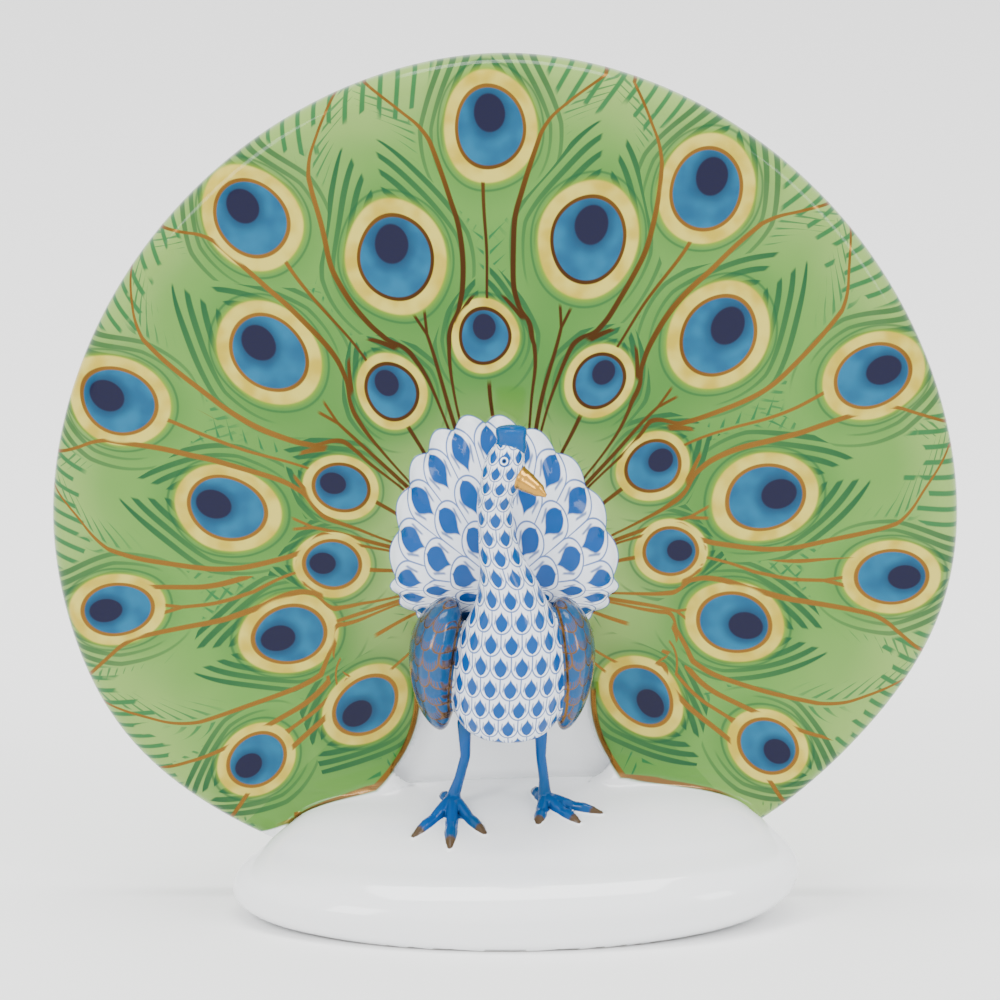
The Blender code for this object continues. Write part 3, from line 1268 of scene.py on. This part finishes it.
    def fringes(self, arch: Signal) -> Signal:
        """Mark the short strokes along gold lines, quills and the rim.

        Args:
            arch: Size of the arch about the nearest eye.

        Returns:
            Mask of the strokes.
        """
        easel = self.easel
        apart = arch.above(self.LAST_ARCH, 0.06)
        tone = self.tones.fine
        off = abs(self.from_gold)
        reach = tone * 4.0 + 2.2
        comb = (self.rho - off * (off * 0.1 + 0.7)).stripe(2.2).below((1 - off / reach) * 0.5, 0.1)
        inner_side = self.from_gold.below(0.0, 0.1)
        shown = easel.blend(
            inner_side, self.stage.ranged(1.8, 2.2) * self.stage.ranged(3.1, 3.5, 1.0, 0.0),
            self.stage.ranged(2.7, 3.0))
        comb = comb * off.above(0.75, 0.15) * shown
        off = self.from_outer_quill
        reach = tone * 1.6 + 2.0
        bones = (self.rho - off * 0.9).stripe(2.3).below((1 - off / reach) * 0.36, 0.1)
        bones = bones * off.above(0.45, 0.12)
        bones = bones * self.stage.ranged(1.25, 1.32) * self.stage.ranged(2.35, 2.5, 1.0, 0.0)
        low = (self.rho - off * 1.4).stripe(2.2).below(0.17, 0.11) * off.above(0.6, 0.15)
        low = low * self.stage.ranged(0.62, 0.70, 1.0, 0.0)
        inside = self.rim - self.rho
        ray = (self.theta + inside * 0.25).stripe(1.9) * self.rho * DEGREE
        edge = ray.below(0.38, 0.12) * inside.below(tone * 9.0 + 0.6, 0.4)
        return (comb * 0.85).most(bones).most(edge).most(low * 0.8) * apart

    def gold(self, eye: Eye) -> Signal:
        """Mark the gold lines.

        Args:
            eye: The nearest eye.

        Returns:
            Mask of the lines.
        """
        stage, aside = self.stage, abs(self.theta)
        border = abs(self.from_gold).below(
            stage.ranged(0.7, 1.2, 0.2, 0.41) - stage.ranged(2.2, 4.0, 0.0, 0.12), 0.1)
        hook = abs(self.from_hook).below(stage.ranged(1.2, 1.5, 0.55, 0.3), 0.12)
        hook = hook * stage.ranged(1.20, 1.24) * stage.ranged(1.40, 1.44, 1.0, 0.0)
        fork = (stage - 2.56).most(0.0) * 4.6
        quill = abs(self.from_outer_quill - fork).below(stage.ranged(1.2, 2.7, 0.2, 0.3), 0.1)
        quill = quill * stage.ranged(1.25, 1.3) * stage.ranged(2.74, 2.80, 1.0, 0.0)
        fork = (stage - 1.22).most(0.0) * 4.6
        stem = abs(self.from_middle_quill - fork).below(stage.ranged(0.5, 1.4, 0.34, 0.24), 0.1)
        stem = stem * stage.ranged(1.38, 1.43, 1.0, 0.0) * aside.below(self.LAST_STEM, 0.6)
        short = self.from_outer_quill.below(stage.ranged(0.3, 0.9, 0.18, 0.34), 0.1)
        short = short * stage.ranged(0.80, 0.84, 1.0, 0.0)
        ring = (abs(eye.reach - 1.0) * eye.half_width).below(0.27, 0.1)
        lines = border.most(hook) * eye.reach.above(1.27, 0.05)
        lines = lines.most(quill.most(stem).most(short) * eye.reach.above(1.36, 0.03))
        return (lines * aside.below(self.LAST_LINE, 0.6)).most(ring)

    def coat(self) -> Coat:
        """Paint the fan's front.

        Returns:
            Its paint.
        """
        easel = self.easel
        eye = self.nearest(
            self.nearest(self.eye(INNER_EYES), self.eye(MIDDLE_EYES)), self.eye(OUTER_EYES))
        arch = self.arch(eye)
        colour = self.ground(eye)
        colour = easel.mix(self.fringes(arch) * 0.9, colour, Palette.FRINGE)
        colour = easel.mix(self.barbs(eye, arch), colour, Palette.STROKE)
        hugging = (abs(eye.reach - 1.56) * eye.half_width).below(0.16, 0.12)
        colour = easel.mix(hugging * 0.6, colour, Palette.STROKE)
        colour = easel.mix(eye.reach.ranged(1.32, 1.52, 0.9, 0.0), colour, Palette.HALO)
        wash = self.tones.wash
        cream = easel.mix(wash.ranged(0.35, 0.7), Palette.CREAM, Palette.YELLOW)
        colour = easel.mix(eye.reach.below(1.37, 0.035), colour, cream)
        across, outward = eye.across / eye.half_width, eye.outward / eye.half_length
        pupil = ((across / 0.46) ** 2.0 + ((outward - 0.34) / 0.47) ** 2.0).root()
        disc = easel.mix(wash.ranged(0.3, 0.7), Palette.DISC, Palette.DISC_LIGHT)
        disc = easel.mix(pupil.ranged(0.95, 1.75, 0.85, 0.0), disc, Palette.DISC_DEEP)
        disc = easel.mix(pupil.below(1.0, 0.06), disc, Palette.PUPIL)
        colour = easel.mix(eye.reach.below(1.0, 0.02), colour, disc)
        gold = self.gold(eye)
        # Painted reflection: the gold lines turn dark brown round the middle of the fan, standing in for
        # dark surroundings mirrored in the gilding
        painted_reflection = (self.x * self.x / 900 + (self.z - 32) * (self.z - 32) / 1400).ranged(0.2, 1.6, 0.85, 0.0)
        metal = easel.mix(painted_reflection, Palette.GOLD, Palette.BROWN)
        return Coat(easel.mix(gold, colour, metal), gold)

    def back(self) -> Signal:
        """Paint the fan's back, plainer than the front.

        Returns:
            Its colour.
        """
        easel = self.easel
        tone = self.tones.broad
        green = easel.mix((self.stage + tone).ranged(1.2, 4.2), Palette.MID_GREEN, Palette.PALE_GREEN)
        quill = self.from_outer_quill.least(self.from_middle_quill)
        comb = (self.rho - quill * 1.3).stripe(3.4).below(0.26, 0.14)
        comb = comb * quill.above(0.7, 0.2) * quill.below(tone * 7.0 + 1.6, 0.6)
        comb = comb * self.stage.ranged(0.8, 1.2)
        green = easel.mix(comb * 0.8, green, Palette.FRINGE)
        return easel.mix(quill.below(0.32, 0.14) * 0.85, green, Palette.STROKE)


class BirdPaint:
    """Painting of the bird."""

    RUFF_ROWS = 4
    RUFF_FEATHER = 5.2
    BODY_FEATHER = 3.3
    WING_FEATHER = 2.6
    WING_ROW = 2.9
    WING_TOP = 52.0
    EYES = ((-0.2, -10.4, 74.9), (3.45, -6.1, 74.9))

    def __init__(self, easel: Easel, tones: Tones) -> None:
        """Keep the easel."""
        self.easel = easel
        self.tones = tones

    def plume(self, across: Signal, depth: Signal, outline: Signal) -> Signal:
        """Paint one round feather: a blue dab on its quill with a fine stroke at each side.

        Args:
            across: Place across the feather, from -0.5 to 0.5.
            depth: Distance in from its tip, in feathers.
            outline: Mask of the fine line round it.

        Returns:
            The colour.
        """
        easel = self.easel
        tone = self.tones.fine
        across = abs(across)
        swell = easel.trace(depth, (
            (0.0, 0.0), (0.06, 0.0), (0.16, 0.19), (0.36, 0.31), (0.60, 0.24), (0.85, 0.08), (1.0, 0.0)))
        dab = (across - swell).below(0.0, 0.035)
        side = abs(across - 0.40 + depth * 0.16).below(0.028, 0.02)
        side = side * depth.above(0.22, 0.05) * depth.below(0.72, 0.06)
        blue = easel.mix(tone.ranged(0.3, 0.75, 0.0, 0.35), Palette.BLUE, Palette.FEATHER_LINE)
        colour = easel.mix(side * 0.8, Palette.FEATHER_WHITE, blue)
        colour = easel.mix(outline * 0.9, colour, Palette.FEATHER_LINE)
        return easel.mix(dab, colour, blue)

    def rounded(self, across: Signal, ahead: Signal) -> Signal:
        """Outline level of a round-ended feather: 1 on its edge and less inside."""
        end = ((ahead - 0.42) / 0.55).most(0.0)
        return (across * across * 4 + end * end).root()

    def rows(self, along: Signal, across: Callable[[Signal], Signal], size: Number,
             last: float = 1e4) -> tuple[Signal, Signal, Signal]:
        """Lay overlapping rows of feathers.

        Args:
            along: Place along the rows, rising the way the feathers point.
            across: Gives the place across a row of a given number, a feather being 1 wide.
            size: Width of a feather in millimetres.
            last: Number of the last row.

        Returns:
            Place across the feather, depth in from its tip and mask of its outline.
        """
        easel = self.easel
        row = along.maths("FLOOR").least(last)
        ahead = along - row
        first, second = across(row), across(row + 1)
        first, second = first - first.whole(), second - second.whole()
        level = self.rounded(first, ahead)
        own = level.maths("LESS_THAN", 1.0).most(row.maths("GREATER_THAN", last - 0.5))
        line = (abs(level - 1) * size * 0.5).below(0.11, 0.07)
        ridge = ((0.5 - abs(second)) * size).below(0.09, 0.06)
        outline = easel.blend(own, ridge.most(line), line)
        place = easel.blend(own, second, first)
        tip = (1 - place * place * 4).most(0.0).root() * 0.55 + 0.42
        depth = tip - ahead + (1 - own)
        return place, depth, outline

    def stagger(self, row: Signal) -> Signal:
        """Move every other row on by half a feather."""
        return row / 2 - (row / 2).maths("FLOOR")

    def ruff(self, angle: Signal, reach: Signal) -> Signal:
        """Paint the ruff.

        Args:
            angle: Direction from straight up, in turns.
            reach: Share of the way to its edge.

        Returns:
            The colour.
        """
        last = self.RUFF_ROWS - 1
        place, depth, outline = self.rows(
            reach * (last + 1.0),
            lambda row: angle * ((row + 0.6) * Ruff.scallops / (last + 0.6)),
            self.RUFF_FEATHER, last)
        return self.plume(place, depth, outline)

    def body(self, across: Signal, along: Signal) -> Signal:
        """Paint the body and neck.

        Args:
            across: Feathers across from its front line.
            along: Feathers down from the crown.

        Returns:
            The colour.
        """
        place, depth, outline = self.rows(
            along, lambda row: across + self.stagger(row), self.BODY_FEATHER)
        return self.plume(place, depth, outline)

    def wing(self, x: Signal, y: Signal, z: Signal, inward: Signal) -> Coat:
        """Paint the wings.

        Args:
            x: Distance across.
            y: Distance back.
            z: Height.
            inward: Distance inside the wing from its edge.

        Returns:
            The paint.
        """
        easel = self.easel
        slant = abs(x) * 0.8 + y * 0.75
        place, depth, line = self.rows(
            (self.WING_TOP - z) / self.WING_ROW + slant * 0.05,
            lambda row: slant / self.WING_FEATHER + self.stagger(row), self.WING_FEATHER)
        tone = self.tones.wash
        colour = easel.mix((slant / 6 + tone - 1.0).ranged(0.0, 1.2), Palette.WING, Palette.WING_GREY)
        colour = easel.mix(depth.ranged(0.2, 0.9, 0.0, 0.4), colour, Palette.WING_GREY)
        hatch = place.stripe(0.125).below(0.028, 0.02) * depth.above(0.04, 0.02)
        hatch = hatch * depth.below(0.42, 0.03)
        edge = abs(inward - 0.75).below(0.22, 0.1)
        gold = (line * 0.9).most(hatch * 0.75).most(edge)
        return Coat(easel.mix(gold, colour, Palette.GOLD), gold)

    def head(self, colour: Signal, x: Signal, y: Signal, z: Signal) -> Signal:
        """Paint the bird's eyes on its head.

        Args:
            colour: Colour beneath.
            x: Distance across.
            y: Distance back.
            z: Height.

        Returns:
            The colour.
        """
        easel = self.easel
        away = None
        for ex, ey, ez in self.EYES:
            found = ((x - ex) ** 2.0 + (y - ey) ** 2.0 + (z - ez) ** 2.0).root()
            away = found if away is None else away.least(found)
        colour = easel.mix(away.below(1.0, 0.07), colour, Palette.BLUE)
        colour = easel.mix(away.below(0.72, 0.06), colour, Palette.WHITE)
        colour = easel.mix(away.below(0.52, 0.05), colour, Palette.BLUE)
        return easel.mix(away.below(0.38, 0.05), colour, Palette.BLACK)


@dataclass(frozen=True)
class Glaze:
    """Gloss of the fired glaze, of its gilding and of the bare rim underneath."""

    roughness: float = 0.10
    gold_roughness: float = 0.24
    bare_roughness: float = 0.7
    gold_metal: float = 0.8
    shine: float = 0.22
    pool: float = 0.6
    pool_roughness: float = 0.06


class Area(Enum):
    """Parts of the surface, by how much painting they need."""

    ALL = ""
    FRONT = "_front"
    BACK = "_back"
    PLAIN = "_plain"


# Edge of the paint on the lobes: a line that falls outward from the mound, and how it meets the rest
SHOULDER = 12.6
SHOULDER_END = 33.0
SHOULDER_SLOPE = 0.42
HEM_LIFT = 1.5
HEM_STEEPNESS = 1.5


class Painting:
    """The painted glaze of one area."""

    CLAW_BEGINS = 4.9

    def __init__(self, area: Area) -> None:
        """Set out the material.

        Args:
            area: The area.
        """
        self.area = area
        self.material = bpy.data.materials.new("glazed_porcelain" + area.value)
        easel = Easel(self.material)
        self.easel = easel
        place = easel.node("TexCoord", {}, {}, 3)
        place = easel.node("VectorMath", {"operation": "SCALE"}, {0: place, 3: 1000.0})
        self.place = place
        self.x, self.y, self.z = easel.split(place)
        self.tones = Tones(
            easel.mottle(place, 0.08, 1.5), easel.mottle(place, 0.24, 1.5), easel.mottle(place, 0.4, 0.0))
        self.white = easel.mix(self.tones.broad * 0.3, Palette.WHITE, Palette.FEATHER_WHITE)

    def finish(self) -> bpy.types.Material:
        """Paint and glaze the area.

        Returns:
            Its material.
        """
        easel = self.easel
        coat = Coat(self.white, 0.0) if self.area is Area.PLAIN else self.tail()
        if self.area is Area.ALL:
            coat = self.creature(coat)
        glaze = Glaze()
        foot = self.z.below(0.12, 0.06)
        gloss = glaze.roughness
        sockets = easel.shader.inputs
        if isinstance(coat.gold, Signal):
            gloss = easel.blend(coat.gold, glaze.roughness, glaze.gold_roughness)
            easel.feed(sockets["Metallic"], coat.gold * glaze.gold_metal)
        easel.feed(sockets["Base Color"], easel.mix(foot, coat.colour, Palette.BISQUE))
        easel.feed(sockets["Roughness"], easel.blend(foot, gloss, glaze.bare_roughness))
        easel.feed(sockets["Coat Weight"], self.over(Region.BASE, 0.3) * glaze.pool)
        sockets["Coat Roughness"].default_value = glaze.pool_roughness
        sockets["Specular IOR Level"].default_value = glaze.shine
        return self.material

    def tail(self) -> Coat:
        """Paint the fan over the white glaze.

        Returns:
            Its paint.
        """
        easel, x, z = self.easel, self.x, self.z
        quiver = easel.mottle(self.place, 0.07, 0.0, 1)
        quiver = easel.node("VectorMath", {"operation": "SUBTRACT"}, {0: quiver, 1: (0.5, 0.5, 0.5)})
        drawn = easel.node(
            "VectorMath", {"operation": "MULTIPLY_ADD"}, {0: quiver, 1: (1.5, 1.5, 1.5), 2: self.place})
        x_drawn, _, z_drawn = easel.split(drawn)
        fan = FanPaint(easel, self.tones, x_drawn, z_drawn)
        fan.cells()
        clear = easel.layer("clear_of_base")
        if self.area is Area.BACK:
            return Coat(easel.mix(clear.ranged(-0.4, 1.6), self.white, fan.back()), 0.0)
        front = fan.coat()
        colour, gold = front.colour, front.gold
        shoulder = SHOULDER - (abs(x) - SHOULDER_END).most(0.0) * SHOULDER_SLOPE
        hem = easel.layer("hollow").least(clear + HEM_LIFT).least((z - shoulder) * HEM_STEEPNESS)
        edge = abs(hem - 0.85).below(0.42, 0.12) * z.below(34.0, 0.5) * abs(x).below(35.0, 2.0)
        green = hem.above(0.25, 0.3)
        if self.area is Area.ALL:
            behind = self.y.above(BACK_BEGINS, 0.3)
            colour = easel.mix(behind, colour, fan.back())
            gold = gold * (1 - behind)
            edge = edge * (1 - behind)
            green = easel.blend(behind, green, clear.ranged(-0.4, 1.6))
        colour = easel.mix(edge, colour, Palette.GOLD)
        return Coat(easel.mix(green, self.white, colour), gold.most(edge) * green)

    def creature(self, behind: Coat) -> Coat:
        """Paint the bird over what is behind it.

        Args:
            behind: Paint behind it.

        Returns:
            The paint.
        """
        easel, x, y, z = self.easel, self.x, self.y, self.z
        bird = BirdPaint(easel, self.tones)
        ruff = bird.ruff(easel.layer("ruff_angle"), easel.layer("ruff_reach"))
        coat = self.lay(behind, Region.RUFF, ruff)
        edge = abs(easel.layer("to_ruff")).below(0.14, 0.08)
        coat.colour = easel.mix(edge * 0.8, coat.colour, Palette.FEATHER_LINE)
        body = bird.body(easel.layer("body_across"), easel.layer("body_along"))
        coat = self.lay(coat, Region.BODY, bird.head(body, x, y, z))
        wing = bird.wing(x, y, z, -easel.layer("to_wing"))
        coat = self.lay(coat, Region.WING, wing.colour, wing.gold)
        claw = easel.layer("claw").above(self.CLAW_BEGINS, 0.15)
        leg = easel.mix(self.tones.broad.ranged(0.3, 0.7), Palette.LEG, Palette.BLUE)
        coat = self.lay(coat, Region.LEG, easel.mix(claw, leg, Palette.CLAW))
        coat = self.lay(coat, Region.CREST, Palette.CREST, coat.gold)
        return self.lay(coat, Region.BEAK, Palette.BEAK, 1.0)

    def lay(self, under: Coat, region: Region, colour: object, gold: Number = 0.0) -> Coat:
        """Lay a region's paint over what is behind it.

        Args:
            under: Paint behind it.
            region: The region.
            colour: Its colour.
            gold: How much of it is gold.

        Returns:
            The paint.
        """
        over = self.over(region)
        return Coat(
            self.easel.mix(over, under.colour, colour), self.easel.blend(over, under.gold, gold))

    def over(self, region: Region, soft: float = 0.07) -> Signal:
        """Mask a region, fading over the given distance at its edge."""
        return self.easel.layer("to_" + region.value).below(0.0, soft)


class Studio:
    """Floor, lights and camera like the photo's."""

    ELEVATION = math.radians(12.5)
    DISTANCE = 1.1
    TARGET = Vector((-0.0008, 0.0088, 0.0645))
    VIEW_WIDTH = 0.1562
    BOXES = (
        ("left_box", (-0.75, -0.75, 0.75), (0.30, 0.50), 5.5),
        ("right_box", (0.85, -0.55, 0.60), (0.25, 0.45), 3.5),
        ("top_box", (0.0, 0.05, 1.1), (0.7, 0.35), 9.0),
    )
    DAYLIGHT = 1.9
    FLOOR_REACH = 6.0

    def camera(self) -> bpy.types.Object:
        """Make the camera from which the photo was taken.

        Returns:
            The camera.
        """
        data = bpy.data.cameras.new("photo_camera")
        data.sensor_width = 36.0
        data.lens = data.sensor_width * self.DISTANCE / self.VIEW_WIDTH
        camera = bpy.data.objects.new("photo_camera", data)
        camera.location = self.TARGET + self.DISTANCE * Vector(
            (0.0, -math.cos(self.ELEVATION), math.sin(self.ELEVATION)))
        camera.rotation_euler = (math.pi / 2 - self.ELEVATION, 0.0, 0.0)
        bpy.context.scene.collection.objects.link(camera)
        bpy.context.scene.camera = camera
        return camera

    def floor(self) -> bpy.types.Object:
        """Make the pale floor.

        Returns:
            The floor.
        """
        mesh = bpy.data.meshes.new("floor")
        reach = self.FLOOR_REACH
        mesh.from_pydata(
            [(-reach, -reach, 0), (reach, -reach, 0), (reach, reach, 0), (-reach, reach, 0)],
            [], [(0, 1, 2, 3)])
        floor = bpy.data.objects.new("floor", mesh)
        bpy.context.scene.collection.objects.link(floor)
        material = bpy.data.materials.new("floor")
        material.use_nodes = True
        shader = material.node_tree.nodes["Principled BSDF"]
        shader.inputs["Base Color"].default_value = (0.93, 0.93, 0.93, 1)
        shader.inputs["Roughness"].default_value = 0.9
        mesh.materials.append(material)
        return floor

    def light(self, name: str, place: Sequence[float], size: Sequence[float], watts: float) -> None:
        """Hang a soft box that faces the figurine.

        Args:
            name: Name of the light.
            place: Where it hangs.
            size: Its width and height.
            watts: Its power.
        """
        data = bpy.data.lights.new(name, "AREA")
        data.shape = "RECTANGLE"
        data.size, data.size_y = size
        data.energy = watts
        light = bpy.data.objects.new(name, data)
        light.location = place
        away = Vector(place) - Vector((0, 0, 0.06))
        light.rotation_euler = away.to_track_quat("Z", "Y").to_euler()
        bpy.context.scene.collection.objects.link(light)

    def build(self) -> None:
        """Set up the whole studio."""
        self.camera()
        self.floor()
        for box in self.BOXES:
            self.light(*box)
        world = bpy.data.worlds.new("studio")
        world.use_nodes = True
        background = world.node_tree.nodes["Background"]
        background.inputs["Color"].default_value = (1.0, 1.0, 1.0, 1)
        background.inputs["Strength"].default_value = self.DAYLIGHT
        bpy.context.scene.world = world


# Start, end and step of each stretch of the sampling grid, in millimetres: finest at the head
GRID = (
    ((-72.4, -19.0, 1.4), (-19.0, -4.0, 0.56), (-4.0, 8.0, 0.38), (8.0, 19.0, 0.56), (19.0, 72.4, 1.4)),
    ((-25.0, -13.0, 1.0), (-13.0, -4.0, 0.4), (-4.0, 9.6, 0.5), (9.6, 26.0, 1.0)),
    ((-1.0, 16.0, 1.0), (16.0, 66.0, 0.54), (66.0, 81.0, 0.38), (81.0, 136.0, 1.4)),
)


def cast(figurine: Figurine) -> bpy.types.Object:
    """Draw the casting's surface.

    Args:
        figurine: Its distance field.

    Returns:
        The casting.
    """
    net = SurfaceNet(figurine, [graded(*spans) for spans in GRID])
    log.info("%d points, %d faces", len(net.points), len(net.quads))
    mesh = bpy.data.meshes.new("peacock_casting")
    mesh.from_pydata((net.points / 1000).tolist(), [], net.quads.tolist())
    mesh.validate()
    casting = bpy.data.objects.new("peacock_casting", mesh)
    bpy.context.scene.collection.objects.link(casting)
    normals = figurine.gradient(net.points, figurine.field(net.points))
    normals /= np.maximum(np.linalg.norm(normals, axis=1), 1e-6)[:, None]
    mesh.shade_smooth()
    mesh.normals_split_custom_set_from_vertices(normals.tolist())
    layers = figurine.layers(net.points)
    for name, values in layers.items():
        layer = mesh.attributes.new(name, "FLOAT", "POINT")
        layer.data.foreach_set("value", values.astype(np.float32))
    for area in Area:
        mesh.materials.append(Painting(area).finish())
    mesh.polygons.foreach_set("material_index", areas(net, layers))
    return casting


def areas(net: SurfaceNet, layers: dict[str, Array]) -> Array:
    """Sort the faces by how much painting they need.

    Args:
        net: The surface.
        layers: What the painting knows at each point.

    Returns:
        Number of the area of each face.
    """
    x, y, z = net.points.T
    ground = ("to_" + Region.FAN.value, "to_" + Region.BASE.value)
    bird = np.min([values for name, values in layers.items()
                   if name.startswith("to_") and name not in ground], axis=0)
    front = (bird > 0.8) & (y < BACK_BEGINS - 0.6)
    back = (bird > 0.8) & (y > BACK_BEGINS + 0.6)
    shoulder = SHOULDER - np.maximum(np.abs(x) - SHOULDER_END, 0.0) * SHOULDER_SLOPE
    hem = np.min((
        layers["hollow"], layers["clear_of_base"] + HEM_LIFT, (z - shoulder) * HEM_STEEPNESS), axis=0)
    plain = (front & (hem < -0.5)) | (back & (layers["clear_of_base"] < -1.0))
    found = np.zeros(len(net.quads), np.int32)
    for number, points in enumerate((front, back, plain), 1):
        found[points[net.quads].all(axis=1)] = number
    return found


def main() -> None:
    """Build the figurine and its studio."""
    logging.basicConfig(level=logging.INFO)
    began = time.perf_counter()
    figurine = Figurine()
    casting = cast(figurine)
    log.info("casting drawn after %.1f s", time.perf_counter() - began)
    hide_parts("peacock_figurine")
    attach(casting, "root")
    Studio().build()


if __name__ == "__main__":
    main()
